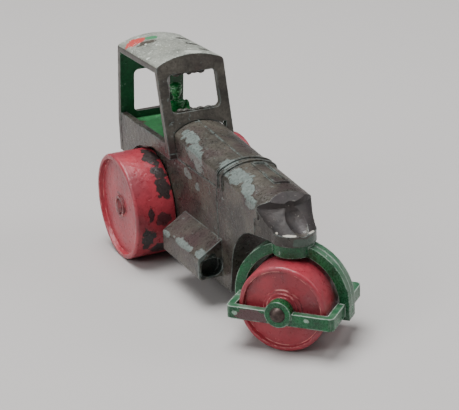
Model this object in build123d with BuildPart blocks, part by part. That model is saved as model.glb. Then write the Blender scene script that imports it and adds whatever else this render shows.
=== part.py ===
from build123d import *
import os
from math import atan2, cos, radians, sin

# A small die-cast toy road roller. Millimetres, +Z up, wheels on z = 0.
# It heads along -Y, and +X is its left side. The fork stands turned to the left.

# --- driving dimensions -------------------------------------------------------------
wheelbase = 47.5
steer_angle = 42.0

rear_radius = 10.35
rear_inner = 5.5
rear_outer = 13.4
front_radius = 7.65
front_half = 6.3

bar_outer = 7.8
bar_thick = 1.2
fork_half_length = 9.45
fork_corner = 1.0
bar_height = 2.2
bar_drop = 0.9
arch_half = 1.47
arch_outer = 10.25
arch_inner = 8.45
arch_leg = 2.7
crown_radius = 3.5
crown_top = 17.85
crown_bottom = 15.75

chassis_half = 5.2
chassis_bottom = 3.6
shoulder_z = 22.3
floor_thick = 1.0
tub_half = 6.7
tub_wall = 1.2
tub_height = 1.7
casting_wall = 1.3
rear_face = 12.35

bonnet_start = 10.2
bonnet_end = 45.5
bonnet_top_rear = 28.45
bonnet_top_front = 25.3
crown_drop = 1.7
shoulder_round = 1.1

screen_rake = 0.25
screen_foot = 11.9
floor_front = 11.95
floor_z = shoulder_z + floor_thick
canopy_wall = 1.25
canopy_half = 6.75
eaves_z = 38.95
roof_rise = 1.5
rear_lean = 0.15
canopy_tail = 13.6
canopy_skirt_z = 17.0

axle_radius = 0.8
axle_fit = 0.04
pin_radius = 0.95
pin_fit = 0.06
tow_reach = 16.5
tow_hole = 0.8
play = 0.1

# The origin is on the ground, midway between the tow lug and the turned fork's corner.
turn = radians(steer_angle)
corner_x = bar_outer - fork_corner
corner_y = fork_half_length - fork_corner
fork_reach = corner_y * cos(turn) + corner_x * sin(turn) + fork_corner
rear_axle_y = (wheelbase + fork_reach - tow_reach) / 2


def ahead(distance):
    """The y of a point this far in front of the rear axle."""
    return rear_axle_y - distance


def bonnet_top(distance):
    """Height of the bonnet's centre line, which falls evenly towards the nose."""
    part_way = (distance - bonnet_start) / (bonnet_end - bonnet_start)
    return bonnet_top_rear + (bonnet_top_front - bonnet_top_rear) * part_way


pivot_y = ahead(wheelbase)
fork_turn = Location((0, pivot_y, 0), (0, 0, steer_angle))


def on_fork(plane):
    """Carries a plane of the straight-ahead fork, centred on its king pin, to its place."""
    return Plane(fork_turn * plane.location)


os.makedirs("parts", exist_ok=True)


# --- body casting -------------------------------------------------------------------
def bonnet_section(distance, grow, foot):
    """The bonnet's cross section: upright sides, rounded shoulders and a low crown."""
    half = chassis_half + grow
    top = bonnet_top(distance) + grow
    side_top = top - crown_drop
    with BuildSketch(Plane.XZ.offset(-ahead(distance))) as section:
        with BuildLine():
            Polyline((-half, side_top), (-half, foot), (half, foot), (half, side_top))
            ThreePointArc((half, side_top), (0, top), (-half, side_top))
        make_face()
        shoulders = section.vertices().group_by(Axis.Y)[-1]
        fillet(shoulders, shoulder_round + grow)
    return section


tub_front = 10.1
tub_back = 12.0
rib_grow = 0.3
rib_wide = 0.55
rib_places = (29.4, 31.0)
hatch_rise = 0.28
hatch_near = 32.2
hatch_far = 41.2
hatch_wide = 2.9
hatch_line = 0.35
box_outer = 9.9
box_bottom = 5.7
box_lip = 9.8
box_top = 12.7
box_rear = 14.3
box_front = 30.2
casting_end = 43.5
casting_end_z = 18.2
nose_straight = 44.4
nose_end = 46.6
nose_shoulder_z = 23.3
nose_rear = 43.0
bevel_start = 44.7
bevel_foot_z = 24.0
collar_radius = 3.95
lip_half = 3.9
collar_top = 19.8
head_bottom = crown_top + play
nose_floor = 20.7
nose_wall = 41.9
pin_top = 19.7
scoop_length = 4.0
scoop_half = 2.3
scoop_offset = 1.3
seam_wide = 0.22
seam_deep = 0.12
seam_front = 28.9
seam_foot_z = 12.4
seam_head_z = 25.0
cheek_front = 3.0
cheek_foot_z = 17.0
cheek_top_z = 21.25
cheek_gap = 0.5
bonnet_roof = 1.4
cavity_half = chassis_half - casting_wall
cavity_front = 31.8
cavity_rear = rear_face - casting_wall
seat_ahead = 0.0
seat_wide = 4.6
seat_deep = 3.4
seat_height = 1.6
pocket_x = 7.35
pocket_z = 7.78
pocket_wide = 4.0
pocket_high = 3.45
pocket_round = 1.5
pocket_deep = 1.6
rivet_x = 2.9
rivet_z = 19.2
rivet_radius = 0.55
rivet_head = 0.95
rivet_head_high = 0.35
tow_half = 1.7
tow_bottom = 7.6
tow_thick = 1.4

with BuildPart() as hatch:
    # The raised outline of a panel on the bonnet's left half.
    hatch_sections = []
    for place in (hatch_near, hatch_far):
        hatch_sections.append(bonnet_section(place, hatch_rise, shoulder_z).sketch.face())
    loft(hatch_sections, ruled=True)
    hatch_middle = ahead((hatch_near + hatch_far) / 2)
    hatch_length = hatch_far - hatch_near
    with BuildSketch(Plane.XY.offset(shoulder_z)) as hatch_frame:
        with Locations((hatch_wide / 2, hatch_middle)):
            Rectangle(hatch_wide, hatch_length)
            hatch_inside = (hatch_wide - 2 * hatch_line, hatch_length - 2 * hatch_line)
            Rectangle(*hatch_inside, mode=Mode.SUBTRACT)
    extrude(amount=bonnet_top_rear - shoulder_z, mode=Mode.INTERSECT)

with BuildPart() as centre_seam:
    # The fine ridge along the middle of the bonnet, from the cab to the strap.
    seam_sections = []
    for place in (bonnet_start, rib_places[0]):
        seam_sections.append(bonnet_section(place, seam_deep, shoulder_z).sketch.face())
    loft(seam_sections, ruled=True)
    with BuildSketch(Plane.XY.offset(shoulder_z)):
        with Locations((0, ahead((bonnet_start + rib_places[0]) / 2))):
            Rectangle(seam_wide, rib_places[0] - bonnet_start)
    extrude(amount=bonnet_top_rear, mode=Mode.INTERSECT)


def nose_outline(z, half, straight, tip):
    """Level section of the nose: sides that taper from the casting to a round front."""
    with BuildSketch(Plane.XY.offset(z)) as outline:
        with BuildLine():
            Polyline(
                (half, ahead(straight)), (chassis_half, ahead(nose_rear)),
                (-chassis_half, ahead(nose_rear)), (-half, ahead(straight)),
            )
            ThreePointArc((-half, ahead(straight)), (0, ahead(tip)), (half, ahead(straight)))
        make_face()
    return outline

with BuildPart() as body:
    # Lower casting: two side plates' outline, with the cut-out that clears the fork.
    with BuildSketch(Plane.YZ) as side_outline:
        with BuildLine():
            Polyline(
                (ahead(casting_end), casting_end_z),
                (ahead(casting_end), shoulder_z),
                (ahead(-rear_face), shoulder_z),
                (ahead(-rear_face), chassis_bottom + 2),
                (ahead(-rear_face + 2), chassis_bottom),
                (ahead(33.2), chassis_bottom),
                (ahead(34.2), 9.75),
            )
            Spline(
                (ahead(34.2), 9.75),
                (ahead(36.3), 14.4),
                (ahead(39.6), 17.1),
                (ahead(casting_end), casting_end_z),
            )
        make_face()
    extrude(amount=chassis_half, both=True)
    # Bonnet on top of it.
    rear_section = bonnet_section(bonnet_start, 0, shoulder_z - 1)
    nose_section = bonnet_section(nose_end, 0, shoulder_z - 1)
    loft([rear_section.sketch.face(), nose_section.sketch.face()], ruled=True)
    # Its front is rounded in plan and bevelled along the top.
    with BuildSketch(Plane.XY.offset(head_bottom)):
        with Locations((0, ahead(nose_end))):
            Rectangle(2 * chassis_half, 2 * (nose_end - nose_straight))
        nose_plan = nose_outline(head_bottom, chassis_half, nose_straight, nose_end)
        add(nose_plan.sketch, mode=Mode.SUBTRACT)
    extrude(amount=bonnet_top_rear - head_bottom, mode=Mode.SUBTRACT)
    with BuildSketch(Plane.YZ):
        with BuildLine():
            Polyline(
                (ahead(bevel_start), bonnet_top(bevel_start)),
                (ahead(nose_end), bevel_foot_z),
                (ahead(nose_end + 1), bevel_foot_z),
                (ahead(nose_end + 1), bonnet_top_rear),
                (ahead(bevel_start), bonnet_top_rear),
                close=True,
            )
        make_face()
    extrude(amount=chassis_half, both=True, mode=Mode.SUBTRACT)
    # Two raised ribs of the strap across it.
    for place in rib_places:
        rib_section = bonnet_section(place, rib_grow, shoulder_z)
        extrude(rib_section.sketch, amount=rib_wide)
    # Cab floor and the low tub walls along its sides.
    floor_middle = ahead((floor_front - rear_face) / 2)
    floor_length = floor_front + rear_face
    with BuildSketch(Plane.XY.offset(shoulder_z)):
        with Locations((0, floor_middle)):
            Rectangle(2 * tub_half, floor_length)
    extrude(amount=floor_thick)
    with BuildSketch(Plane.XY.offset(floor_z)):
        for side in (-1, 1):
            with Locations((side * (tub_half - tub_wall / 2), ahead((tub_front - tub_back) / 2))):
                Rectangle(tub_wall, tub_front + tub_back)
    extrude(amount=tub_height)
    # Steering head: a round collar on the king pin's axis.
    with BuildSketch(Plane.XY.offset(head_bottom)):
        with Locations((0, pivot_y)):
            Circle(collar_radius)
    extrude(amount=collar_top - head_bottom)
    # The nose slopes forward and narrows from the bonnet's front down to the collar.
    web_plan = nose_outline(casting_end_z, lip_half, wheelbase, wheelbase + lip_half)
    extrude(web_plan.sketch, amount=collar_top - play - casting_end_z)
    collar_plan = nose_outline(collar_top - play, lip_half, wheelbase, wheelbase + lip_half)
    brow_plan = nose_outline(nose_shoulder_z, chassis_half, nose_straight, nose_end)
    loft([collar_plan.sketch.face(), brow_plan.sketch.face()], ruled=True)
    # A hollow scooped out of the slope, shaped like half an egg.
    slope_ahead = (nose_end + wheelbase + collar_radius) / 2
    slope_z = (nose_shoulder_z + collar_top) / 2
    slope_run = (wheelbase + collar_radius - nose_end, nose_shoulder_z - collar_top)
    slope_angle = atan2(slope_run[1], slope_run[0])
    scoop_centre = (
        0,
        ahead(slope_ahead + scoop_offset * sin(slope_angle)),
        slope_z + scoop_offset * cos(slope_angle),
    )
    slope_plane = Plane(
        origin=scoop_centre,
        x_dir=(0, cos(slope_angle), sin(slope_angle)),
        z_dir=(1, 0, 0),
    )
    with BuildSketch(slope_plane):
        Ellipse(scoop_length, scoop_half)
        with Locations((0, -scoop_half)):
            Rectangle(2 * scoop_length, 2 * scoop_half, mode=Mode.SUBTRACT)
    revolve(axis=Axis(slope_plane.origin, slope_plane.x_dir), mode=Mode.SUBTRACT)
    # Cheeks level with the tub's sides, cut away round the rear rollers.
    for side in (-1, 1):
        with BuildSketch(Plane.YZ.offset(side * (chassis_half - 0.1))):
            with BuildLine():
                Polyline(
                    (ahead(cheek_front), shoulder_z), (ahead(0), cheek_top_z),
                    (ahead(0), cheek_foot_z), (ahead(-rear_face), cheek_foot_z),
                    (ahead(-rear_face), shoulder_z), close=True,
                )
            make_face()
            with Locations((rear_axle_y, rear_radius)):
                Circle(rear_radius + cheek_gap, mode=Mode.SUBTRACT)
        extrude(amount=side * (tub_half - chassis_half + 0.1))
    # Side boxes, with a sloping top and a pocket in the front face.
    for side in (-1, 1):
        with BuildSketch(Plane.XZ.offset(-ahead(box_front))) as box_outline:
            with BuildLine():
                Polyline(
                    (side * (chassis_half - 0.5), box_bottom),
                    (side * box_outer, box_bottom),
                    (side * box_outer, box_lip),
                    (side * chassis_half, box_top),
                    (side * (chassis_half - 0.5), box_top),
                    close=True,
                )
            make_face()
            outer_corners = box_outline.vertices().filter_by(
                lambda corner: abs(abs(corner.X) - box_outer) < 0.01
            )
            fillet(outer_corners, 0.6)
        extrude(amount=-(box_front - box_rear))
    # Tow lug at the back.
    lug_end = ahead(-tow_reach)
    lug_root = ahead(-rear_face + casting_wall / 2)
    with BuildSketch(Plane.XY.offset(tow_bottom)):
        with BuildLine():
            Polyline(
                (-tow_half, lug_end - tow_half), (-tow_half, lug_root),
                (tow_half, lug_root), (tow_half, lug_end - tow_half),
            )
            ThreePointArc((tow_half, lug_end - tow_half), (0, lug_end), (-tow_half, lug_end - tow_half))
        make_face()
    extrude(amount=tow_thick)
    add(hatch.part)
    add(centre_seam.part)
    # Seat, cast on the cab floor.
    with BuildSketch(Plane.XY.offset(floor_z)):
        with Locations((0, ahead(seat_ahead))):
            Rectangle(seat_wide, seat_deep)
    extrude(amount=seat_height)
    # Hollow underside, open downwards, and the hollow under the bonnet.
    with BuildSketch(Plane.XY.offset(chassis_bottom)):
        with Locations((0, ahead((cavity_front - cavity_rear) / 2))):
            Rectangle(2 * cavity_half, cavity_front + cavity_rear)
    extrude(amount=shoulder_z - casting_wall - chassis_bottom, mode=Mode.SUBTRACT)
    with BuildSketch(Plane.YZ) as bonnet_hollow:
        with BuildLine():
            Polyline(
                (ahead(bonnet_start + casting_wall), chassis_bottom),
                (ahead(bonnet_start + casting_wall), bonnet_top(bonnet_start) - crown_drop - bonnet_roof),
                (ahead(nose_wall), bonnet_top(nose_wall) - crown_drop - bonnet_roof),
                (ahead(nose_wall), nose_floor),
                (ahead(cavity_front), nose_floor),
                (ahead(cavity_front), chassis_bottom),
                close=True,
            )
        make_face()
    extrude(amount=cavity_half, both=True, mode=Mode.SUBTRACT)
    # Fine engraved lines on the flanks: one along the bonnet's foot, one down to the box.
    for side in (-1, 1):
        with BuildSketch(Plane.YZ.offset(side * (chassis_half - seam_deep))):
            with Locations((ahead((floor_front + seam_front) / 2), shoulder_z)):
                Rectangle(seam_front - floor_front, seam_wide)
            with Locations((ahead(seam_front), (seam_head_z + seam_foot_z) / 2)):
                Rectangle(seam_wide, seam_head_z - seam_foot_z)
        extrude(amount=side * 2 * seam_deep, mode=Mode.SUBTRACT)
    # Pocket in the front face of each side box.
    with BuildSketch(Plane.XZ.offset(-ahead(box_front))):
        for side in (-1, 1):
            with Locations((side * pocket_x, pocket_z)):
                RectangleRounded(pocket_wide, pocket_high, pocket_round)
    extrude(amount=-pocket_deep, mode=Mode.SUBTRACT)
    # Bores for the king pin, the rear axle, the canopy's rivets and the tow pin.
    with BuildSketch(Plane.XY.offset(head_bottom)):
        with Locations((0, pivot_y)):
            Circle(pin_radius)
    extrude(amount=pin_top - head_bottom, mode=Mode.SUBTRACT)
    with BuildSketch(Plane.YZ):
        with Locations((rear_axle_y, rear_radius)):
            Circle(axle_radius)
    extrude(amount=chassis_half, both=True, mode=Mode.SUBTRACT)
    with BuildSketch(Plane.XZ.offset(-ahead(-rear_face))):
        for side in (-1, 1):
            with Locations((side * rivet_x, rivet_z)):
                Circle(rivet_radius)
    extrude(amount=rear_face - cavity_rear, mode=Mode.SUBTRACT)
    with BuildSketch(Plane.XY.offset(tow_bottom)):
        with Locations((0, ahead(-tow_reach) - tow_half)):
            Circle(tow_hole)
    extrude(amount=tow_thick, mode=Mode.SUBTRACT)
body.part.label = "body"
export_step(body.part, "parts/body.step")


# --- canopy -------------------------------------------------------------------------
def canopy_outline(inset):
    """Side view of the canopy: raked screen, level roof and leaning back wall."""
    screen_top = screen_foot - screen_rake * (roof_top_z - floor_z) - inset
    back_top = canopy_tail - rear_lean * (roof_top_z - floor_z) - inset
    with BuildSketch(Plane.YZ) as outline:
        with BuildLine():
            Polyline(
                (ahead(screen_foot - inset), floor_z),
                (ahead(screen_top), roof_top_z),
                (ahead(-back_top), roof_top_z),
                (ahead(-canopy_tail + inset), floor_z),
                close=True,
            )
        make_face()
    return outline


def arched_elevation(drop, foot, corner):
    """Front view under the roof's arch, with its upper corners rounded."""
    side_z = eaves_z - drop
    with BuildSketch(Plane.XZ) as elevation:
        with BuildLine():
            Polyline(
                (-canopy_half, side_z), (-canopy_half, foot),
                (canopy_half, foot), (canopy_half, side_z),
            )
            ThreePointArc((canopy_half, side_z), (0, side_z + roof_rise), (-canopy_half, side_z))
        make_face()
        if corner > 0:
            fillet(elevation.vertices().group_by(Axis.Y)[-1], corner)
    return elevation


roof_top_z = eaves_z + roof_rise
window_half = 4.95
window_bottom = 30.3
window_top = 37.2
window_round = 1.0
eaves_round = 0.8
back_window_half = 3.85
back_window_bottom = 24.7
back_window_top = 33.6
reach = 30

with BuildPart() as cab_space:
    # What is open under the roof, from side to side.
    inside = canopy_outline(canopy_wall)
    extrude(inside.sketch, amount=canopy_half + 1, both=True)
    arch_inside = arched_elevation(canopy_wall, shoulder_z, 0)
    extrude(arch_inside.sketch, amount=2 * reach, both=True, mode=Mode.INTERSECT)

with BuildPart() as canopy:
    outside = canopy_outline(0)
    extrude(outside.sketch, amount=canopy_half, both=True)
    arch_outside = arched_elevation(0, shoulder_z, eaves_round)
    extrude(arch_outside.sketch, amount=2 * reach, both=True, mode=Mode.INTERSECT)
    add(cab_space.part, mode=Mode.SUBTRACT)
    # Back wall's skirt, lapped over the body's rear panel.
    with BuildSketch(Plane.XZ.offset(-ahead(-canopy_tail))):
        with Locations((0, (canopy_skirt_z + floor_z) / 2)):
            Rectangle(2 * canopy_half, floor_z - canopy_skirt_z)
    extrude(amount=canopy_tail - rear_face)
    # Windscreen opening, and the saddle below it that sits over the bonnet.
    with BuildSketch(Plane.XZ.offset(-rear_axle_y)):
        with Locations((0, (window_bottom + window_top) / 2)):
            RectangleRounded(2 * window_half, window_top - window_bottom, window_round)
    extrude(amount=reach, mode=Mode.SUBTRACT)
    saddle = []
    for place in (bonnet_start - 3, bonnet_start + 4):
        saddle.append(bonnet_section(place, play, shoulder_z).sketch.face())
    loft(saddle, ruled=True, mode=Mode.SUBTRACT)
    # A small chink left open beside the left post's foot.
    with BuildSketch(Plane.XZ.offset(-rear_axle_y)):
        with BuildLine():
            Polyline((4.9, 27.5), (5.6, 27.5), (5.35, 26.3), close=True)
        make_face()
    extrude(amount=reach, mode=Mode.SUBTRACT)
    # Window in the back wall.
    with BuildSketch(Plane.XZ.offset(-rear_axle_y)):
        with Locations((0, (back_window_bottom + back_window_top) / 2)):
            RectangleRounded(2 * back_window_half, back_window_top - back_window_bottom, window_round)
    extrude(amount=-reach, mode=Mode.SUBTRACT)
    # Rivet holes through the skirt.
    with BuildSketch(Plane.XZ.offset(-ahead(-canopy_tail))):
        for side in (-1, 1):
            with Locations((side * rivet_x, rivet_z)):
                Circle(rivet_radius)
    extrude(amount=canopy_tail - rear_face, mode=Mode.SUBTRACT)
canopy.part.label = "canopy"
export_step(canopy.part, "parts/canopy.step")

# Two rivets hold the skirt to the body.
with BuildPart() as canopy_rivets:
    with BuildSketch(Plane.XZ.offset(-ahead(-canopy_tail))):
        for side in (-1, 1):
            with Locations((side * rivet_x, rivet_z)):
                Circle(rivet_radius)
    extrude(amount=canopy_tail - cavity_rear)
    for start in (canopy_tail, cavity_rear - rivet_head_high):
        with BuildSketch(Plane.XZ.offset(-ahead(-start))):
            for side in (-1, 1):
                with Locations((side * rivet_x, rivet_z)):
                    Circle(rivet_head)
        extrude(amount=-rivet_head_high)
canopy_rivets.part.label = "canopy_rivets"
export_step(canopy_rivets.part, "parts/canopy_rivets.step")


# --- driver -------------------------------------------------------------------------
seat_z = floor_z + seat_height
lap_high = 1.3
shoulder_height = 29.7
forearm_x = 1.7
forearm_z = 27.0
steering_radius = 1.5
head_radius = 1.15
head_z = 31.7

with BuildPart() as driver:
    # Thighs and shins, facing the windscreen.
    for side in (-1, 1):
        with BuildSketch(Plane.XY.offset(seat_z)):
            with Locations((side * 0.75, ahead(seat_ahead + 1.4))):
                RectangleRounded(1.2, 4.4, 0.4)
        extrude(amount=lap_high)
        with BuildSketch(Plane.XY.offset(floor_z)):
            with Locations((side * 0.75, ahead(seat_ahead + 3))):
                RectangleRounded(1.2, 1.2, 0.4)
        extrude(amount=seat_height + lap_high / 2)
    # Torso, narrow at the waist.
    with BuildSketch(Plane.XY.offset(seat_z)) as waist:
        with Locations((0, ahead(seat_ahead))):
            Ellipse(1.5, 1.1)
    with BuildSketch(Plane.XY.offset(shoulder_height)) as shoulders_ring:
        with Locations((0, ahead(seat_ahead + 0.6))):
            Ellipse(2.4, 1.05)
    loft([waist.sketch.face(), shoulders_ring.sketch.face()])
    # Forearms held out to the steering wheel.
    for side in (-1, 1):
        with BuildSketch(Plane.XZ.offset(-ahead(seat_ahead))):
            with Locations((side * forearm_x, forearm_z)):
                Circle(0.5)
        extrude(amount=3.2)
    with BuildSketch(Plane.XZ.offset(-ahead(seat_ahead + 2.9))):
        with Locations((0, forearm_z - 0.5)):
            Circle(steering_radius)
    extrude(amount=0.6)
    with Locations((0, ahead(seat_ahead + 0.7), head_z)):
        Sphere(head_radius)
    # Neck and cap.
    with BuildSketch(Plane.XY.offset(shoulder_height - 0.3)):
        with Locations((0, ahead(seat_ahead + 0.6))):
            Circle(0.65)
    extrude(amount=head_z - shoulder_height)
    with BuildSketch(Plane.XY.offset(head_z + 0.6)):
        with Locations((0, ahead(seat_ahead + 0.9))):
            Ellipse(1.15, 1.4)
    extrude(amount=0.9)
driver.part.label = "driver"
export_step(driver.part, "parts/driver.step")


# --- fork, in two mirror halves -----------------------------------------------------
bar_z = front_radius - bar_drop
boss_radius = 2.3
boss_face = 8.3
peen_radius = 1.35
pin_head = 1.8
pin_head_high = 0.45
arm_half = bar_outer - bar_thick
cross_inner = fork_half_length - 1.3
half_gap = 0.06

for hand, side in (("right", -1), ("left", 1)):
    with BuildPart() as fork_half:
        # Half of the level frame round the roller.
        with BuildSketch(on_fork(Plane.XY.offset(bar_z - bar_height / 2))) as frame_half:
            with Locations((side * bar_outer / 2, 0)):
                Rectangle(bar_outer, 2 * fork_half_length)
            outer_corners = frame_half.vertices().filter_by(
                lambda corner: abs(abs(corner.X) - bar_outer) < 0.01
            )
            fillet(outer_corners, fork_corner)
            with Locations((side * arm_half / 2, 0)):
                Rectangle(arm_half, 2 * cross_inner, mode=Mode.SUBTRACT)
        extrude(amount=bar_height)
        # Half of the arch over the roller, with legs down to the frame's underside.
        with BuildSketch(on_fork(Plane.YZ.offset(side * half_gap))):
            with Locations((0, front_radius)):
                Circle(arch_outer)
                Circle(arch_inner, mode=Mode.SUBTRACT)
                with Locations((0, -arch_outer / 2)):
                    Rectangle(2 * arch_outer, arch_outer, mode=Mode.SUBTRACT)
            for end in (-1, 1):
                with Locations((end * (arch_outer + arch_inner) / 2, front_radius - arch_leg / 2)):
                    Rectangle(arch_outer - arch_inner, arch_leg)
        extrude(amount=side * (arch_half - half_gap))
        # Half of the round crown under the steering head.
        with BuildSketch(on_fork(Plane.XY.offset(crown_bottom))):
            Circle(crown_radius)
            with Locations((-side * crown_radius / 2, 0)):
                Rectangle(crown_radius, 2 * crown_radius, mode=Mode.SUBTRACT)
        extrude(amount=crown_top - crown_bottom)
        # Boss for the axle, on the frame's side bar.
        with BuildSketch(on_fork(Plane.YZ.offset(side * arm_half))):
            with Locations((0, front_radius)):
                Circle(boss_radius)
        extrude(amount=side * (boss_face - arm_half))
        with BuildSketch(on_fork(Plane.YZ.offset(side * arm_half))):
            with Locations((0, front_radius)):
                Circle(axle_radius + axle_fit)
        extrude(amount=side * (boss_face - arm_half), mode=Mode.SUBTRACT)
        # Everything above the crown's top face and across the middle line is cut away.
        with BuildSketch(on_fork(Plane.XY.offset(crown_top))):
            Circle(2 * arch_outer)
        extrude(amount=1, mode=Mode.SUBTRACT)
        with BuildSketch(on_fork(Plane.XY)):
            with Locations((-side * (bar_outer / 2 - half_gap), 0)):
                Rectangle(bar_outer, 3 * arch_outer)
        extrude(amount=crown_top, mode=Mode.SUBTRACT)
        # King pin's hole, and the recess for its lower head.
        with BuildSketch(on_fork(Plane.XY.offset(crown_bottom))):
            Circle(pin_radius + pin_fit)
        extrude(amount=crown_top - crown_bottom, mode=Mode.SUBTRACT)
        with BuildSketch(on_fork(Plane.XY.offset(crown_bottom))):
            Circle(pin_head + play)
        extrude(amount=pin_head_high, mode=Mode.SUBTRACT)
    fork_half.part.label = "fork_half_" + hand
    export_step(fork_half.part, "parts/fork_half_" + hand + ".step")

# King pin: driven up into the steering head, with its head in the crown's recess.
with BuildPart() as king_pin:
    with BuildSketch(Plane.XY.offset(crown_bottom)):
        with Locations((0, pivot_y)):
            Circle(pin_radius)
    extrude(amount=pin_top - crown_bottom)
    with BuildSketch(Plane.XY.offset(crown_bottom)):
        with Locations((0, pivot_y)):
            Circle(pin_head)
    extrude(amount=pin_head_high - play / 2)
king_pin.part.label = "king_pin"
export_step(king_pin.part, "parts/king_pin.step")


# --- axles and rollers --------------------------------------------------------------
roller_bore = axle_radius + 0.08
rear_axle_half = 12.65
rear_head_high = 0.5
front_axle_half = boss_face + play / 2
front_head_high = 0.65
lip_round = 0.5


def across(y, z):
    """A plane through an axle line: its x points up and its y points along the axle."""
    return Plane(origin=(0, y, z), x_dir=(0, 0, 1), z_dir=(0, 1, 0))


front_plane = on_fork(across(0, front_radius))
rear_plane = across(rear_axle_y, rear_radius)


def axle_section(plane, half_length, head_high):
    """Half section of a round pin with a domed head at each end."""
    with BuildSketch(plane) as section:
        with BuildLine():
            tip = half_length + head_high
            Line((0, -tip), (0, tip))
            for end in (-1, 1):
                slant = radians(45)
                shoulder = (peen_radius * cos(slant), end * (half_length + head_high * sin(slant)))
                ThreePointArc((0, end * tip), shoulder, (peen_radius, end * half_length))
                Line((peen_radius, end * half_length), (axle_radius, end * half_length))
            Line((axle_radius, -half_length), (axle_radius, half_length))
        make_face()
    return section


with BuildPart() as front_axle:
    front_pin = axle_section(front_plane, front_axle_half, front_head_high)
    revolve(front_pin.sketch, axis=Axis(front_plane.origin, front_plane.y_dir))
front_axle.part.label = "front_axle"
export_step(front_axle.part, "parts/front_axle.step")

with BuildPart() as rear_axle:
    rear_pin = axle_section(rear_plane, rear_axle_half, rear_head_high)
    revolve(rear_pin.sketch, axis=Axis(rear_plane.origin, rear_plane.y_dir))
rear_axle.part.label = "rear_axle"
export_step(rear_axle.part, "parts/rear_axle.step")


def lip_corner(radius, face, side):
    """The rounded outer corner of a tread: two ends of an arc and its middle."""
    slack = lip_round * (1 - cos(radians(45)))
    start = (radius, face - side * lip_round)
    middle = (radius - slack, face - side * slack)
    return start, middle, (radius - lip_round, face)


front_lip = 0.95
front_disc = 5.6
hub_step = 0.19
hub_radii = (3.4, 2.8, 2.2, 1.6)

with BuildPart() as front_roller:
    with BuildSketch(front_plane):
        with BuildLine():
            tread_half = front_half - lip_round
            Line((front_radius, -tread_half), (front_radius, tread_half))
            for side in (-1, 1):
                corner = lip_corner(front_radius, side * front_half, side)
                ThreePointArc(*corner)
                disc_edge = front_radius - front_lip
                stairs = [corner[2], (disc_edge + 0.15, side * front_half)]
                stairs.append((disc_edge, side * front_disc))
                for count, radius in enumerate(hub_radii):
                    stairs.append((radius, side * (front_disc + count * hub_step)))
                    stairs.append((radius, side * (front_disc + (count + 1) * hub_step)))
                stairs.append((roller_bore, side * (front_disc + len(hub_radii) * hub_step)))
                Polyline(*stairs)
            hub_face = front_disc + len(hub_radii) * hub_step
            Line((roller_bore, -hub_face), (roller_bore, hub_face))
        make_face()
    revolve(axis=Axis(front_plane.origin, front_plane.y_dir))
front_roller.part.label = "front_roller"
export_step(front_roller.part, "parts/front_roller.step")

rear_lip = 1.1
rear_disc = 12.55
web_thick = 1.3
rim_thick = 1.5
hub_radius = 2.3
ring_outer = 2.15
ring_inner = 1.6
ring_high = 0.35

for hand, side in (("right", -1), ("left", 1)):
    with BuildPart() as rear_roller:
        with BuildSketch(rear_plane):
            with BuildLine():
                corner = lip_corner(rear_radius, side * rear_outer, side)
                disc_edge = rear_radius - rear_lip
                ThreePointArc(*corner)
                Polyline(
                    corner[2], (disc_edge + 0.2, side * rear_outer), (disc_edge, side * rear_disc),
                    (ring_outer, side * rear_disc), (ring_outer, side * (rear_disc + ring_high)),
                    (ring_inner, side * (rear_disc + ring_high)), (ring_inner, side * rear_disc),
                    (roller_bore, side * rear_disc), (roller_bore, side * rear_inner),
                    (hub_radius, side * rear_inner), (hub_radius, side * (rear_disc - web_thick)),
                    (rear_radius - rim_thick, side * (rear_disc - web_thick)),
                    (rear_radius - rim_thick, side * rear_inner), (rear_radius, side * rear_inner),
                    corner[0],
                )
            make_face()
        revolve(axis=Axis(rear_plane.origin, rear_plane.y_dir))
    rear_roller.part.label = "rear_roller_" + hand
    export_step(rear_roller.part, "parts/rear_roller_" + hand + ".step")
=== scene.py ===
import bpy
import numpy as np
from math import cos, pi, radians, sin
from mathutils import Matrix, Vector


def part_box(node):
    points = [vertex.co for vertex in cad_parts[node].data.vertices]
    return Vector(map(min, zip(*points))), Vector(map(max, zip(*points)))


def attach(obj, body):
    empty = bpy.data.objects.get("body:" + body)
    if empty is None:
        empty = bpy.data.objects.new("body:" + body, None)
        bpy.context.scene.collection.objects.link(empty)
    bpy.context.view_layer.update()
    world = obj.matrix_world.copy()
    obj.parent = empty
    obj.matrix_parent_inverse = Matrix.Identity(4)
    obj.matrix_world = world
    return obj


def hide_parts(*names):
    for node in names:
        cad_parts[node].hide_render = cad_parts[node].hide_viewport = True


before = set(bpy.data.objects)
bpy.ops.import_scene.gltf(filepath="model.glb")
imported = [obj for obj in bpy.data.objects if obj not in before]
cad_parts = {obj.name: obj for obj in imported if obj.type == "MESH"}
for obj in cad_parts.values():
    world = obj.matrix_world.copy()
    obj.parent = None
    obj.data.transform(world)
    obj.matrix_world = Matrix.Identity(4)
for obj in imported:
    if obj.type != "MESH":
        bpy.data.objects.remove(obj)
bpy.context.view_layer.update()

# --- body casting -------------------------------------------------------------------
# The chassis, bonnet and cab tub are one zinc casting. It was brushed over by hand with
# a dark grey-brown paint, which has worn through to the pale oxidised metal on edges
# and in flat flakes, and the factory green still shows on the cab floor.

MM = 0.001
axle_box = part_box("rear_axle")
rear_axle_y = (axle_box[0][1] + axle_box[1][1]) / 2 / MM


def ahead(distance):
    """The y, in millimetres, of a point this far in front of the rear axle."""
    return rear_axle_y - distance


def linear(hex_colour):
    """An sRGB hex colour as linear red, green, blue and alpha."""
    parts = np.array([int(hex_colour[i:i + 2], 16) for i in (1, 3, 5)]) / 255
    parts = np.where(parts <= 0.04045, parts / 12.92, ((parts + 0.055) / 1.055) ** 2.4)
    return (*map(float, parts), 1.0)


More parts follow.
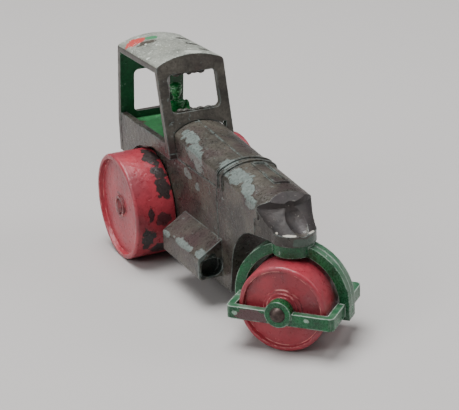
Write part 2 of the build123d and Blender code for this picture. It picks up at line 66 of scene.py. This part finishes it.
def add(tree, kind, settings, inputs):
    """Adds one node, with its settings and its inputs, each a constant or another node's output."""
    new = tree.nodes.new("ShaderNode" + kind)
    for key, value in settings.items():
        setattr(new, key, value)
    for key, value in inputs.items():
        if isinstance(value, bpy.types.NodeSocket):
            tree.links.new(value, new.inputs[key])
        else:
            new.inputs[key].default_value = value
    return new


def worn_paint(name, coat, shade, tint, bare, roughness, edge_wear, flakes,
               stains=(), grain=0.5, drift=6.0, ridges=0.05, flecking=0.5, rub=0.28, mottle=0.38):
    """Brushed or sprayed paint on a casting. The coat drifts between two tones and a tint; its edges
    rub through to the bare colour; flakes are ellipsoids where it has come off, and stains are
    ellipsoids of another colour. Ridges is the height of the brush marks, flecking from 0 to 1 says
    how many small nicks there are, rub is how far wear reaches in from an edge, mottle is how far
    dirt darkens and scuffs lighten the coat, and all sizes are in millimetres."""
    material = bpy.data.materials.new(name)
    material.use_nodes = True
    tree = material.node_tree
    tree.nodes.clear()
    place = add(tree, "TexCoord", {}, {}).outputs["Object"]
    spot = add(tree, "VectorMath", {"operation": "SCALE"}, {0: place, "Scale": 1 / MM}).outputs[0]
    wide = add(tree, "TexNoise", {}, {"Vector": spot, "Scale": 1 / drift, "Detail": 4.0, "Roughness": 0.6})
    tones = add(tree, "MapRange", {}, {"Value": wide.outputs[0], "From Min": 0.38, "From Max": 0.62})
    colour = add(tree, "Mix", {"data_type": "RGBA"},
                 {0: tones.outputs[0], 6: linear(shade), 7: linear(coat)})
    # Cloudy second colour, from the brush dragging one coat into another.
    cloud = add(tree, "TexNoise", {"noise_dimensions": "4D"},
                {"Vector": spot, "W": 7.0, "Scale": 1 / (1.3 * drift), "Detail": 3.0})
    clouds = add(tree, "MapRange", {},
                 {"Value": cloud.outputs[0], "From Min": 0.5, "From Max": 0.66, "To Max": 0.75})
    colour = add(tree, "Mix", {"data_type": "RGBA"},
                 {0: clouds.outputs[0], 6: colour.outputs[2], 7: linear(tint)})
    # Fine dirt and scuffing, drawn at half a millimetre so that it shows.
    fine = add(tree, "TexNoise", {}, {"Vector": spot, "Scale": 1 / grain, "Detail": 5.0, "Roughness": 0.7})
    dirt = add(tree, "MapRange", {}, {"Value": fine.outputs[0], "From Min": 0.3, "From Max": 0.7,
                                      "To Min": 1 - mottle, "To Max": 1 + 0.9 * mottle})
    colour = add(tree, "VectorMath", {"operation": "SCALE"},
                 {0: colour.outputs[2], "Scale": dirt.outputs[0]}).outputs[0]
    ragged = add(tree, "TexNoise", {"noise_dimensions": "4D"},
                 {"Vector": spot, "W": 3.0, "Scale": 1 / 1.6, "Detail": 5.0, "Roughness": 0.62})
    ragged_edge = add(tree, "MapRange", {},
                      {"Value": ragged.outputs[0], "To Min": -1.3, "To Max": 1.3}).outputs[0]

    def blob(centre, radii):
        """1 inside an ellipsoid with a ragged edge, else 0."""
        stretch = [1 / radius for radius in radii]
        shift = [-c / radius for c, radius in zip(centre, radii)]
        near = add(tree, "Mapping", {}, {"Vector": spot, "Location": shift, "Scale": stretch})
        far = add(tree, "VectorMath", {"operation": "LENGTH"}, {0: near.outputs[0]})
        rough = add(tree, "Math", {"operation": "ADD"}, {0: far.outputs["Value"], 1: ragged_edge})
        inside = add(tree, "MapRange", {}, {"Value": rough.outputs[0], "From Min": 1.03, "From Max": 0.95})
        return inside.outputs[0]

    for centre, radii, hue in stains:
        colour = add(tree, "Mix", {"data_type": "RGBA"},
                     {0: blob(centre, radii), 6: colour, 7: linear(hue)}).outputs[2]
    # Rubbed edges: where a slightly rounded normal leaves the flat one, broken up by noise.
    rounded = add(tree, "Bevel", {"samples": 8}, {"Radius": rub * MM}).outputs[0]
    flat = add(tree, "NewGeometry", {}, {}).outputs["Normal"]
    agree = add(tree, "VectorMath", {"operation": "DOT_PRODUCT"}, {0: rounded, 1: flat}).outputs["Value"]
    edge = add(tree, "MapRange", {}, {"Value": agree, "From Min": 0.998, "From Max": 0.95}).outputs[0]
    rubbed = add(tree, "MapRange", {}, {"Value": ragged.outputs[0], "From Min": 0.66 - 0.4 * edge_wear,
                                        "From Max": 0.76 - 0.4 * edge_wear}).outputs[0]
    worn = add(tree, "Math", {"operation": "MULTIPLY"}, {0: edge, 1: rubbed}).outputs[0]
    nicks = add(tree, "TexNoise", {"noise_dimensions": "4D"},
                {"Vector": spot, "W": 11.0, "Scale": 1 / 0.7, "Detail": 2.0, "Roughness": 0.5,
                 "Distortion": 0.8})
    rare = 0.74 - 0.12 * flecking
    flecks = add(tree, "MapRange", {},
                 {"Value": nicks.outputs[0], "From Min": rare, "From Max": rare + 0.02}).outputs[0]
    worn = add(tree, "Math", {"operation": "MAXIMUM"}, {0: worn, 1: flecks}).outputs[0]
    for centre, radii in flakes:
        worn = add(tree, "Math", {"operation": "MAXIMUM"}, {0: worn, 1: blob(centre, radii)}).outputs[0]
    metal = add(tree, "VectorMath", {"operation": "SCALE"}, {0: linear(bare)[:3], "Scale": dirt.outputs[0]})
    colour = add(tree, "Mix", {"data_type": "RGBA"}, {0: worn, 6: colour, 7: metal.outputs[0]})
    gloss = add(tree, "MapRange", {}, {"Value": fine.outputs[0], "From Min": 0.3, "From Max": 0.7,
                                       "To Min": roughness - 0.1, "To Max": roughness + 0.12})
    # The coat stands a twentieth of a millimetre proud of the bare metal, in soft ridges.
    grainy = add(tree, "Math", {"operation": "MULTIPLY"}, {0: fine.outputs[0], 1: 0.02})
    brushed = add(tree, "Math", {"operation": "MULTIPLY_ADD"},
                  {0: ragged.outputs[0], 1: 4 * ridges, 2: grainy.outputs[0]})
    chipped = add(tree, "Math", {"operation": "MULTIPLY_ADD"}, {0: worn, 1: -0.05, 2: brushed.outputs[0]})
    bump = add(tree, "Bump", {},
               {"Strength": 1.0, "Distance": MM, "Height": chipped.outputs[0], "Normal": rounded})
    shader = add(tree, "BsdfPrincipled", {},
                 {"Base Color": colour.outputs[2], "Roughness": gloss.outputs[0], "Normal": bump.outputs[0]})
    add(tree, "OutputMaterial", {}, {"Surface": shader.outputs[0]})
    return material


def repaint(node, material):
    """Gives a CAD node this one material."""
    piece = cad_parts[node]
    piece.data.materials.clear()
    piece.data.materials.append(material)
    return piece


def faces(piece):
    """The middle, in millimetres, and the outward normal of every face."""
    count = len(piece.data.polygons)
    middle, normal = np.empty(3 * count), np.empty(3 * count)
    piece.data.polygons.foreach_get("center", middle)
    piece.data.polygons.foreach_get("normal", normal)
    return middle.reshape(-1, 3) / MM, normal.reshape(-1, 3)


def paint_faces(piece, chosen, material):
    """Puts a further material on the chosen faces."""
    piece.data.materials.append(material)
    index = np.zeros(len(piece.data.polygons), dtype=np.int32)
    piece.data.polygons.foreach_get("material_index", index)
    index[chosen] = len(piece.data.materials) - 1
    piece.data.polygons.foreach_set("material_index", index)


bare_zinc = "#656e6a"
bonnet_flakes = [
    ((-3.6, ahead(13.3), 26.8), (1.1, 1.6, 1.2)),
    ((-3.5, ahead(16.5), 26.6), (1.5, 1.8, 1.3)),
    ((-4.9, ahead(19.0), 25.6), (1.3, 2.4, 1.9)),
    ((-5.2, ahead(21.3), 24.2), (0.8, 2.2, 2.0)),
    ((-3.2, ahead(29.5), 26.2), (2.0, 1.6, 0.9)),
    ((-3.4, ahead(34.5), 25.4), (1.7, 3.6, 1.2)),
    ((-4.0, ahead(39.0), 24.8), (1.3, 2.2, 1.1)),
    ((-5.0, ahead(42.0), 23.6), (0.8, 2.2, 1.0)),
    ((-5.2, ahead(16.3), 20.7), (0.5, 1.7, 0.9)),
    ((-5.2, ahead(20.6), 19.6), (0.4, 1.0, 0.7)),
    ((-1.6, ahead(46.0), 24.9), (0.9, 0.5, 0.3)),
]
box_flakes = [
    ((-9.9, 5.6, 9.7), (0.5, 1.5, 0.7)),
    ((-9.5, -1.7, 10.0), (0.9, 3.8, 0.55)),
    ((-9.0, -7.5, 10.3), (1.3, 1.7, 0.8)),
    ((-9.9, -8.8, 8.0), (0.4, 0.35, 1.9)),
]
# Hand-brushed alkyd over zinc: dull, blotchy, with brush drag and pale rubbed edges, and with painted shade
# in the side boxes' front recesses and on the nose's near side.
body_coat_and_painted_shade = worn_paint(
    "brushed_overpaint_and_painted_shade_on_zinc", "#504c44", "#2f2c28", "#3f2f30", bare_zinc, 0.31, 0.6,
    bonnet_flakes + box_flakes,
    # Dark grey-green patches in both side boxes' front recesses: painted shade.
    stains=[((side * 7.4, ahead(29.4), 7.8), (2.6, 1.9, 2.1), "#232a27") for side in (-1, 1)]
    # A darker patch on the nose's near tapered side: painted shade over a facet that catches the lamp.
    + [((-4.2, ahead(46.5), 20.8), (1.8, 2.8, 2.8), "#332f2b"),
       ((1.6, ahead(51.0), 18.6), (3.4, 3.4, 0.8), "#43544a")],
    flecking=0.55)
body = repaint("body", body_coat_and_painted_shade)
# The nose's sloping front faces: the same paint, handled until it is matt and purplish, with pale chips
# along the collar's rim; their dark tone is painted shade over the hollowed front.
nose_coat_painted_shade = worn_paint(
    "overpaint_darkened_as_painted_shade_on_nose", "#312a28", "#1b1717", "#271b1f", "#6f6c64", 0.55, 0.12, [],
    stains=[((-2.3, ahead(50.3), 19.9), (1.1, 0.9, 0.16), "#bdb8ac"),
            ((1.9, ahead(50.9), 19.9), (1.2, 0.8, 0.18), "#bdb8ac"),
            ((-3.6, ahead(48.6), 20.1), (0.35, 0.5, 0.3), "#bdb8ac")],
    drift=3.0, flecking=0.55, rub=0.2)
middle, normal = faces(body)
nose_start, collar_z = ahead(44.6), 19.6
facing_ahead = normal[:, 1] < -0.3
paint_faces(body, (middle[:, 1] < nose_start) & facing_ahead & (middle[:, 2] > collar_z), nose_coat_painted_shade)
# Factory enamel left on the cab floor and the tub's inner sides, cleaner than the coat round it; its pale
# green, far paler than the same enamel inside the canopy, is a painted highlight of the overhead lamp.
floor_enamel_painted_lit = worn_paint(
    "factory_green_painted_lit_cab_floor", "#4a9a5e", "#3a8450", "#4a8a58", "#8fb09a", 0.42, 0.3, [],
    stains=[((-6.0, ahead(-9.0), 23.3), (2.6, 3.6, 1.0), "#5b5145"),
            ((-6.2, ahead(2.0), 23.5), (1.2, 9.0, 1.6), "#5b5145")])
cab_floor_z = 23.3
on_floor = (np.abs(normal[:, 2]) > 0.9) & (np.abs(middle[:, 2] - cab_floor_z) < 0.1)
in_tub = (np.abs(middle[:, 0]) < 5.6) & (middle[:, 2] > cab_floor_z) & (middle[:, 2] < 25.1)
behind_bonnet = middle[:, 1] > ahead(10)
paint_faces(body, (on_floor | in_tub) & behind_bonnet, floor_enamel_painted_lit)

# --- canopy -------------------------------------------------------------------------
# The roof, its windscreen frame and the back wall are a second zinc casting, riveted to
# the tub. It has the same overpaint outside, chalky on the roof, and the factory green
# inside. Thick paint sagged and dried in beads along the windscreen's edges.

frame_coat = worn_paint(
    "brushed_overpaint_on_frame", "#57534c", "#383531", "#3f3030", bare_zinc, 0.36, 0.6, [],
    flecking=0.5)
canopy = repaint("canopy", frame_coat)
# Chalked top coat: paler, dusty and matt, with chips down to red and green undercoats.
roof_coat = worn_paint(
    "chalked_overpaint_on_roof", "#979a91", "#74776f", "#85877e", "#c4c8bf", 0.45, 0.5, [],
    stains=[((-4.3, 29.3, 39.7), (2.1, 1.6, 1.6), "#b8423c"),
            ((-1.2, 28.6, 40.2), (1.3, 1.1, 1.6), "#3f7f57"),
            ((-2.9, 26.9, 40.0), (2.0, 1.2, 1.6), "#464139"),
            ((4.7, 27.1, 39.8), (1.7, 0.75, 1.8), "#2b2825"),
            ((4.5, 22.3, 39.8), (1.8, 0.8, 1.8), "#2b2825"),
            ((5.0, 17.6, 39.7), (1.5, 0.7, 1.8), "#2b2825"),
            ((-2.0, 21.0, 40.2), (1.2, 1.9, 1.0), "#86897f"),
            ((1.5, 15.0, 40.2), (1.6, 1.4, 1.0), "#b0b3aa")],
    flecking=0.9)
inside_enamel = worn_paint(
    "factory_green_inside_cab", "#175c36", "#0f4429", "#20402f", "#8fb09a", 0.4, 0.2, [])
middle, normal = faces(canopy)
outside_z, ceiling_z = 38, 37.3
on_roof = (normal[:, 2] > 0.4) & (middle[:, 2] > outside_z)
under_roof = (normal[:, 2] < -0.4) & (middle[:, 2] > ceiling_z)
back_wall_inside = (normal[:, 1] < -0.6) & (middle[:, 1] > ahead(-8)) & (middle[:, 2] > cab_floor_z)
screen_inside = (normal[:, 1] > 0.6) & (middle[:, 1] < ahead(5)) & (middle[:, 2] > cab_floor_z)
paint_faces(canopy, on_roof, roof_coat)
paint_faces(canopy, under_roof | back_wall_inside | screen_inside, inside_enamel)
repaint("canopy_rivets", body_coat_and_painted_shade)


def carried_ring(spine, wide, deep, side, around=20, lobes=0.0):
    """A closed surface: at each point of the spine an oval ring, wide along the side direction and
    deep across it, joined to the next; both ends close to a point. Lobes push the ring in and out
    four times round: radius times (1 + lobes * cos(4 * angle))."""
    spine = np.asarray(spine, float)
    wide = np.broadcast_to(np.asarray(wide, float), len(spine))
    deep = np.broadcast_to(np.asarray(deep, float), len(spine))
    along = np.gradient(spine, axis=0)
    along /= np.linalg.norm(along, axis=1, keepdims=True)
    first = np.asarray(side, float) - (along @ np.asarray(side, float))[:, None] * along
    first /= np.linalg.norm(first, axis=1, keepdims=True)
    second = np.cross(along, first)
    angle = np.linspace(0, 2 * pi, around, endpoint=False)
    swell = 1 + lobes * np.cos(4 * angle)
    inner = slice(1, len(spine) - 1)
    rings = (spine[inner, None]
             + (wide[inner, None] * swell * np.cos(angle))[..., None] * first[inner, None]
             + (deep[inner, None] * swell * np.sin(angle))[..., None] * second[inner, None])
    points = np.concatenate([rings.reshape(-1, 3), spine[[0, -1]]])
    count = len(spine) - 2
    start = np.arange(around)
    after = (start + 1) % around
    base = (np.arange(count - 1) * around)[:, None]
    quads = np.stack([base + start, base + after, base + after + around, base + start + around], -1)
    quads = quads.reshape(-1, 4)
    low, high = count * around, count * around + 1
    last = (count - 1) * around
    caps = np.concatenate([
        np.stack([np.full(around, low), after, start], -1),
        np.stack([np.full(around, high), last + start, last + after], -1)])
    return points, quads.tolist() + caps.tolist()


def ball(centre, radii, rings=13):
    """An ellipsoid as a spine through its poles: each ring's radius is sqrt(1 - height squared)."""
    height = -np.cos(np.linspace(0, pi, rings))
    spine = np.array(centre) + height[:, None] * np.array([0, 0, radii[2]])
    swell = np.sqrt(np.clip(1 - height ** 2, 0, 1))
    return carried_ring(spine, radii[0] * swell, radii[1] * swell, (1, 0, 0))


def piece_of(name, shapes, material):
    """Joins the shapes, given in millimetres, into one smooth mesh object."""
    points, polygons, total = [], [], 0
    for shape_points, shape_polygons in shapes:
        points.append(shape_points * MM)
        polygons += [[total + corner for corner in polygon] for polygon in shape_polygons]
        total += len(shape_points)
    mesh = bpy.data.meshes.new(name)
    mesh.from_pydata(np.concatenate(points).tolist(), [], polygons)
    mesh.polygons.foreach_set("use_smooth", np.ones(len(polygons), dtype=bool))
    mesh.materials.append(material)
    piece = bpy.data.objects.new(name, mesh)
    bpy.context.scene.collection.objects.link(piece)
    return piece


random = np.random.default_rng(4)


def sagging_bead(left, right, z, screen_y, hang):
    """A bead of paint along a level edge: its half height is a thin base plus a row of rounded
    drops, each a raised cosine at a random place, and it tapers to nothing at both ends."""
    x = np.linspace(left, right, 90)
    drops = np.zeros_like(x)
    for place in np.arange(left + 0.7, right - 0.4, 1.35):
        middle = place + random.uniform(-0.35, 0.35)
        width = random.uniform(0.5, 0.95)
        height = random.uniform(0.2, 1.0)
        drops = np.maximum(drops, height * np.clip(np.cos((x - middle) / width * pi / 2), 0, 1)
                           * (np.abs(x - middle) < width))
    taper = np.clip(np.minimum(x - left, right - x) / 0.4, 0, 1) ** 0.5
    half = (0.08 + 0.27 * drops) * taper
    spine = np.stack([x, np.full_like(x, screen_y), z + hang * half * 0.9], -1)
    return carried_ring(spine, 0.42 * taper, half, (0, 1, 0), around=14)


window_top_z, window_foot_z = 37.2, 30.3
beads = piece_of("windscreen_paint_beads", [
    sagging_bead(-3.9, 3.0, window_top_z, ahead(7.85), -1),
    sagging_bead(-3.8, 3.9, window_foot_z, ahead(9.5), 1)], frame_coat)
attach(beads, "chassis")

# --- driver -------------------------------------------------------------------------
# A small seated man cast separately in zinc and dipped in the factory green, pegged to
# the seat. He wears a flat cap and holds a steering wheel on a raked column.

seat_y = ahead(0.0)
hip_z, shoulder_z, head_z = 25.6, 29.3, 31.8
driver_green = worn_paint(
    "dipped_green_enamel", "#157a36", "#0c5a28", "#15602f", "#7fae8c", 0.28, 0.35, [],
    grain=0.4, drift=3.0, flecking=0.2)
rise = np.linspace(0, 1, 21)
dome = np.sqrt(np.clip(1 - (2 * rise - 1) ** 8, 0, 1))
torso_spine = np.stack([0 * rise, seat_y - 0.5 * rise, 24.9 + 5.0 * rise], -1)
torso_wide, torso_deep = (1.35 + 0.75 * rise ** 1.5) * dome, (1.0 + 0.1 * rise) * dome
figure = [carried_ring(torso_spine, torso_wide, torso_deep, (1, 0, 0))]
figure.append(ball((0, seat_y - 0.5, 30.3), (0.6, 0.6, 0.8)))
face_y = seat_y - 0.6
figure.append(ball((0, face_y, head_z), (1.05, 1.15, 1.35)))
figure.append(ball((0, face_y - 1.14, head_z - 0.12), (0.15, 0.22, 0.26)))
figure.append(ball((0, face_y - 0.86, head_z - 0.85), (0.42, 0.28, 0.26)))
for hand in (-1, 1):
    figure.append(ball((hand * 0.38, face_y - 0.98, head_z + 0.18), (0.15, 0.11, 0.1)))
    figure.append(ball((hand * 1.04, face_y + 0.08, head_z - 0.05), (0.14, 0.26, 0.36)))
figure.append(ball((0, face_y + 0.08, head_z + 0.85), (1.18, 1.3, 0.6)))
figure.append(ball((0, face_y - 1.1, head_z + 0.6), (0.8, 0.55, 0.1)))
for hand in (-1, 1):
    swing = np.linspace(0, 1, 25)
    taper = np.sqrt(np.clip(1 - (2 * swing - 1) ** 8, 0, 1))
    arm_y = seat_y - 0.4 - 2.5 * swing ** 1.6
    arm_z = shoulder_z + 0.3 - 2.9 * np.sin(pi * np.clip(swing * 0.62, 0, 1)) + 0.3 * swing ** 3
    arm_x = hand * (1.98 + 0.2 * np.sin(pi * swing) - 0.7 * swing ** 2)
    arm_spine = np.stack([arm_x, arm_y, arm_z], -1)
    arm_radius = (0.62 - 0.22 * swing) * taper
    figure.append(carried_ring(arm_spine, arm_radius, arm_radius, (1, 0, 0)))
    bend = np.clip((swing - 0.55) / 0.25, 0, 1)
    leg_y = seat_y - 0.2 - 3.1 * np.clip(swing / 0.62, 0, 1)
    leg_z = hip_z + 0.15 - (hip_z - 23.4) * np.clip((swing - 0.55) / 0.45, 0, 1) ** 1.2
    leg_spine = np.stack([hand * (0.68 + 0.15 * swing), leg_y - 0.25 * bend, leg_z], -1)
    figure.append(carried_ring(leg_spine, 0.6 * taper, (0.62 - 0.1 * swing) * taper, (1, 0, 0)))
    figure.append(ball((hand * 0.86, seat_y - 3.75, 23.62), (0.45, 0.8, 0.3)))
wheel_centre = np.array([0, seat_y - 2.95, 26.6])
turn = np.linspace(0, 2 * pi, 40, endpoint=False)
tube = np.linspace(0, 2 * pi, 10, endpoint=False)
wheel_up = np.array([0, sin(radians(35)), cos(radians(35))])
wheel_x = np.array([1.0, 0, 0])
wheel_v = np.cross(wheel_up, wheel_x)
radial = np.cos(turn)[:, None] * wheel_x + np.sin(turn)[:, None] * wheel_v
# The steering wheel is a torus: a small circle carried round a large one.
rim = (wheel_centre + 1.35 * radial[:, None]
       + 0.17 * (np.cos(tube)[:, None] * radial[:, None] + np.sin(tube)[:, None] * wheel_up))
row, column = np.meshgrid(np.arange(40), np.arange(10), indexing="ij")
next_row, next_column = (row + 1) % 40, (column + 1) % 10
rim_faces = np.stack([row * 10 + column, next_row * 10 + column,
                      next_row * 10 + next_column, row * 10 + next_column], -1).reshape(-1, 4)
figure.append((rim.reshape(-1, 3), rim_faces.tolist()))
along = np.linspace(0, 1, 12)[:, None]
column_foot = np.array([0, seat_y - 4.6, 23.35])
figure.append(carried_ring(wheel_centre + (column_foot - wheel_centre) * along, 0.24, 0.24, (1, 0, 0)))
for spoke in (0.0, pi / 2):
    arm = cos(spoke) * wheel_x + sin(spoke) * wheel_v
    figure.append(carried_ring(wheel_centre + (2 * along - 1) * 1.3 * arm, 0.12, 0.12, wheel_up))
driver = piece_of("driver_figure", figure, driver_green)
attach(driver, "chassis")
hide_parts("driver")

# --- fork ---------------------------------------------------------------------------
# Two mirror halves of die-cast zinc, dipped in green enamel and clamped together by the
# king pin and the front axle. The enamel has rubbed off every outer edge and the arch's
# back, and one side bar has a smear of the body's brown overpaint.

turned = radians(42)
wheelbase = 47.5
front_radius, rear_radius = 7.65, 10.35
pivot_y = ahead(wheelbase)


def on_fork(x, y, z):
    """Carries a point of the straight fork, measured from its king pin, to where it stands."""
    return (cos(turned) * x - sin(turned) * y, pivot_y + sin(turned) * x + cos(turned) * y, z)


# Dipped enamel: deep green and glossy on the flats, chalk-pale along its rubbed edges.
fork_green = worn_paint(
    "dipped_green_enamel_on_fork", "#0a6135", "#074527", "#1a4d34", "#86a08f", 0.27, 0.62,
    [(on_fork(-7.8, 7.9, 6.8), (0.5, 0.5, 0.4)), (on_fork(-7.8, -4.9, 7.1), (0.4, 0.4, 0.3))],
    stains=[(on_fork(-8.0, 4.7, 6.4), (2.6, 2.9, 1.4), "#533a3c")],
    grain=0.4, drift=4.0, rub=0.3, flecking=0.35)
# The same enamel where hands and shelves have rubbed it: thin, grey and chalky.
rubbed_green = worn_paint(
    "rubbed_green_enamel_on_fork", "#44684f", "#1d5536", "#6a7f6f", "#a3b2a5", 0.38, 0.75, [],
    grain=0.35, drift=2.0, rub=0.32)
bar_top_z, bar_foot_z, arch_back_radius = 8.5, 7, 9.9
for half in ("fork_half_right", "fork_half_left"):
    casting = repaint(half, fork_green)
    middle, normal = faces(casting)
    from_pin = middle - np.array([0, pivot_y, front_radius])
    bar_top = (normal[:, 2] > 0.8) & (middle[:, 2] < bar_top_z)
    arch_reach = np.hypot(np.hypot(from_pin[:, 0], from_pin[:, 1]), from_pin[:, 2])
    arch_back = (np.sum(normal * from_pin, axis=1) > 0.85 * arch_reach) & (arch_reach > arch_back_radius)
    paint_faces(casting, bar_top | (arch_back & (middle[:, 2] > bar_foot_z)), rubbed_green)

# --- king pin and axles -------------------------------------------------------------
# Drawn steel wire. The king pin is driven into the steering head; each axle is cut to
# length and its ends hammered over cold, which leaves a lobed, browned mushroom.

# Tarnished drawn steel: dark brown-grey, half dull, with lighter worn high spots.
steel = bpy.data.materials.new("tarnished_drawn_steel")
steel.use_nodes = True
tree = steel.node_tree
tree.nodes.clear()
place = add(tree, "TexCoord", {}, {}).outputs["Object"]
rust = add(tree, "TexNoise", {},
           {"Vector": place, "Scale": 1 / (0.9 * MM), "Detail": 5.0, "Roughness": 0.65})
tone = add(tree, "MapRange", {}, {"Value": rust.outputs[0], "From Min": 0.35, "From Max": 0.65})
colour = add(tree, "Mix", {"data_type": "RGBA"},
             {0: tone.outputs[0], 6: linear("#2f2625"), 7: linear("#5d504b")})
dull = add(tree, "MapRange", {}, {"Value": rust.outputs[0], "To Min": 0.6, "To Max": 0.35})
dents = add(tree, "Bump", {}, {"Strength": 0.5, "Distance": 0.05 * MM, "Height": rust.outputs[0]})
shader = add(tree, "BsdfPrincipled", {}, {"Base Color": colour.outputs[2], "Metallic": 0.7,
                                          "Roughness": dull.outputs[0], "Normal": dents.outputs[0]})
add(tree, "OutputMaterial", {}, {"Surface": shader.outputs[0]})
for node in ("king_pin", "front_axle"):
    repaint(node, steel)


def peened_head(centre, outward, radius, high):
    """A hammered rivet end: a flat dome whose rim swells and shrinks four times round."""
    along = np.linspace(0, 1, 12)
    spine = np.asarray(centre) + (along[:, None] - 0.5) * high * np.asarray(outward)
    swell = radius * np.sqrt(np.clip(1 - along ** 2.4, 0, 1))
    swell[0] = radius
    return carried_ring(spine, swell, swell, (0, 0, 1), around=40, lobes=0.12)


fork_right = np.array([cos(turned), sin(turned), 0])
boss_face = 8.75
front_ends = [peened_head(on_fork(side * boss_face, 0, front_radius), side * fork_right, 1.05, 0.66)
              for side in (-1, 1)]
front_heads = piece_of("front_axle_peened_ends", front_ends, steel)
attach(front_heads, "fork")

# --- rollers ------------------------------------------------------------------------
# Rollers sprayed red, with a raised lip round each face and rings round the front hub,
# free to turn on their axles. The rear right tread has splashes of dark overpaint.

roller_red, roller_shade, roller_tint = "#b0404a", "#9c343f", "#843c44"
# Sprayed enamel, rubbed pink along the lips, with a faint random mottle of grime.
front_red = worn_paint(
    "sprayed_red_enamel_front", roller_red, roller_shade, roller_tint, "#d98a86", 0.32, 0.5, [],
    grain=0.9, flecking=0.15, mottle=0.12)
rear_red = worn_paint(
    "sprayed_red_enamel_rear", roller_red, roller_shade, roller_tint, "#d98a86", 0.32, 0.45, [],
    grain=0.9, flecking=0.1, mottle=0.12)
tread_splashes = [
    ((-7.0, ahead(2.8), 20.2), (1.5, 2.9, 1.6), "#3a3130"),
    ((-6.9, ahead(6.6), 18.3), (1.2, 1.5, 1.6), "#3a3130"),
    ((-7.2, ahead(8.6), 15.9), (1.5, 1.6, 2.5), "#3a3130"),
    ((-10.3, ahead(10.3), 11.3), (0.6, 1.2, 1.8), "#452c2f"),
    ((-8.0, ahead(10.2), 10.2), (1.6, 1.2, 1.2), "#5e3337"),
    ((-10.9, ahead(9.4), 6.5), (1.4, 1.6, 3.2), "#332d2d"),
    ((-7.6, ahead(8.0), 3.4), (2.6, 1.9, 1.6), "#3a2e2f"),
]
splashed_red = worn_paint(
    "sprayed_red_enamel_splashed", roller_red, roller_shade, roller_tint, "#d98a86", 0.32, 0.45, [],
    stains=tread_splashes + [((-12.6, ahead(0), rear_radius), (1.0, 2.4, 2.4), "#7a3a3e")],
    grain=0.9, flecking=0.1, mottle=0.16)
repaint("front_roller", front_red)
repaint("rear_roller_left", rear_red)
repaint("rear_roller_right", splashed_red)
# The rear axle's ends were sprayed with the rollers, and the red has gone brown on them.
rear_end_paint = worn_paint(
    "grimed_red_on_steel", "#7d3035", "#5b292c", "#4a2a2b", "#8a6a64", 0.45, 0.6, [], grain=0.3, drift=2.0)
repaint("rear_axle", rear_end_paint)
hub_face = 12.95
rear_ends = [peened_head((side * hub_face, ahead(0), rear_radius), (side, 0, 0), 1.15, 0.7)
             for side in (-1, 1)]
rear_heads = piece_of("rear_axle_peened_ends", rear_ends, rear_end_paint)
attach(rear_heads, "chassis")

# --- floor, light and camera --------------------------------------------------------
# The toy stands on a plain pale sheet under a large soft lamp overhead.

reach = 3
plate = bpy.data.meshes.new("floor")
corners = [(-reach, -reach, 0), (reach, -reach, 0), (reach, reach, 0), (-reach, reach, 0)]
plate.from_pydata(corners, [], [(0, 1, 2, 3)])
sheet = bpy.data.materials.new("pale_matt_sheet")
sheet.use_nodes = True
sheet_shader = sheet.node_tree.nodes["Principled BSDF"]
sheet_shader.inputs["Base Color"].default_value = linear("#b9b6b4")
sheet_shader.inputs["Roughness"].default_value = 0.9
plate.materials.append(sheet)
floor = bpy.data.objects.new("floor", plate)
bpy.context.scene.collection.objects.link(floor)

lamps = (
    ("overhead", (-0.1, 0.1, 0.9), 14, 0.6),
    ("left_window", (0.7, -0.25, 0.6), 2.2, 0.4),
    ("right_window", (-0.8, -0.2, 0.55), 3.2, 0.4),
)
for name, place, energy, width in lamps:
    lamp = bpy.data.lights.new(name, "AREA")
    lamp.energy = energy
    lamp.size = width
    light = bpy.data.objects.new(name, lamp)
    aim = Vector(place).to_track_quat("Z", "Y").to_matrix().to_4x4()
    light.matrix_world = Matrix.Translation(place) @ aim
    bpy.context.scene.collection.objects.link(light)
world = bpy.data.worlds.new("studio")
world.use_nodes = True
world.node_tree.nodes["Background"].inputs[0].default_value = linear("#e8eaee")
world.node_tree.nodes["Background"].inputs[1].default_value = 0.16
bpy.context.scene.world = world

azimuth, elevation, roll = radians(-26.1), radians(22.2), radians(-1.8)
back = Vector((sin(azimuth) * cos(elevation), -cos(azimuth) * cos(elevation), sin(elevation)))
level = (-back).cross(Vector((0, 0, 1))).normalized()
upright = level.cross(-back)
rolled_right = cos(roll) * level + sin(roll) * upright
rolled_up = -sin(roll) * level + cos(roll) * upright
pose = Matrix((rolled_right, rolled_up, back)).transposed().to_4x4()
target, distance = Vector((0.0059, -0.0017, 0.0103)), 0.2585
pose.translation = target + back * distance
lens = bpy.data.cameras.new("camera")
lens.sensor_width = 36
lens.lens = 109.8
lens.shift_x = -0.0667
lens.shift_y = 0.0472
lens.clip_start = 0.01
camera = bpy.data.objects.new("camera", lens)
camera.matrix_world = pose
bpy.context.scene.collection.objects.link(camera)
bpy.context.scene.camera = camera
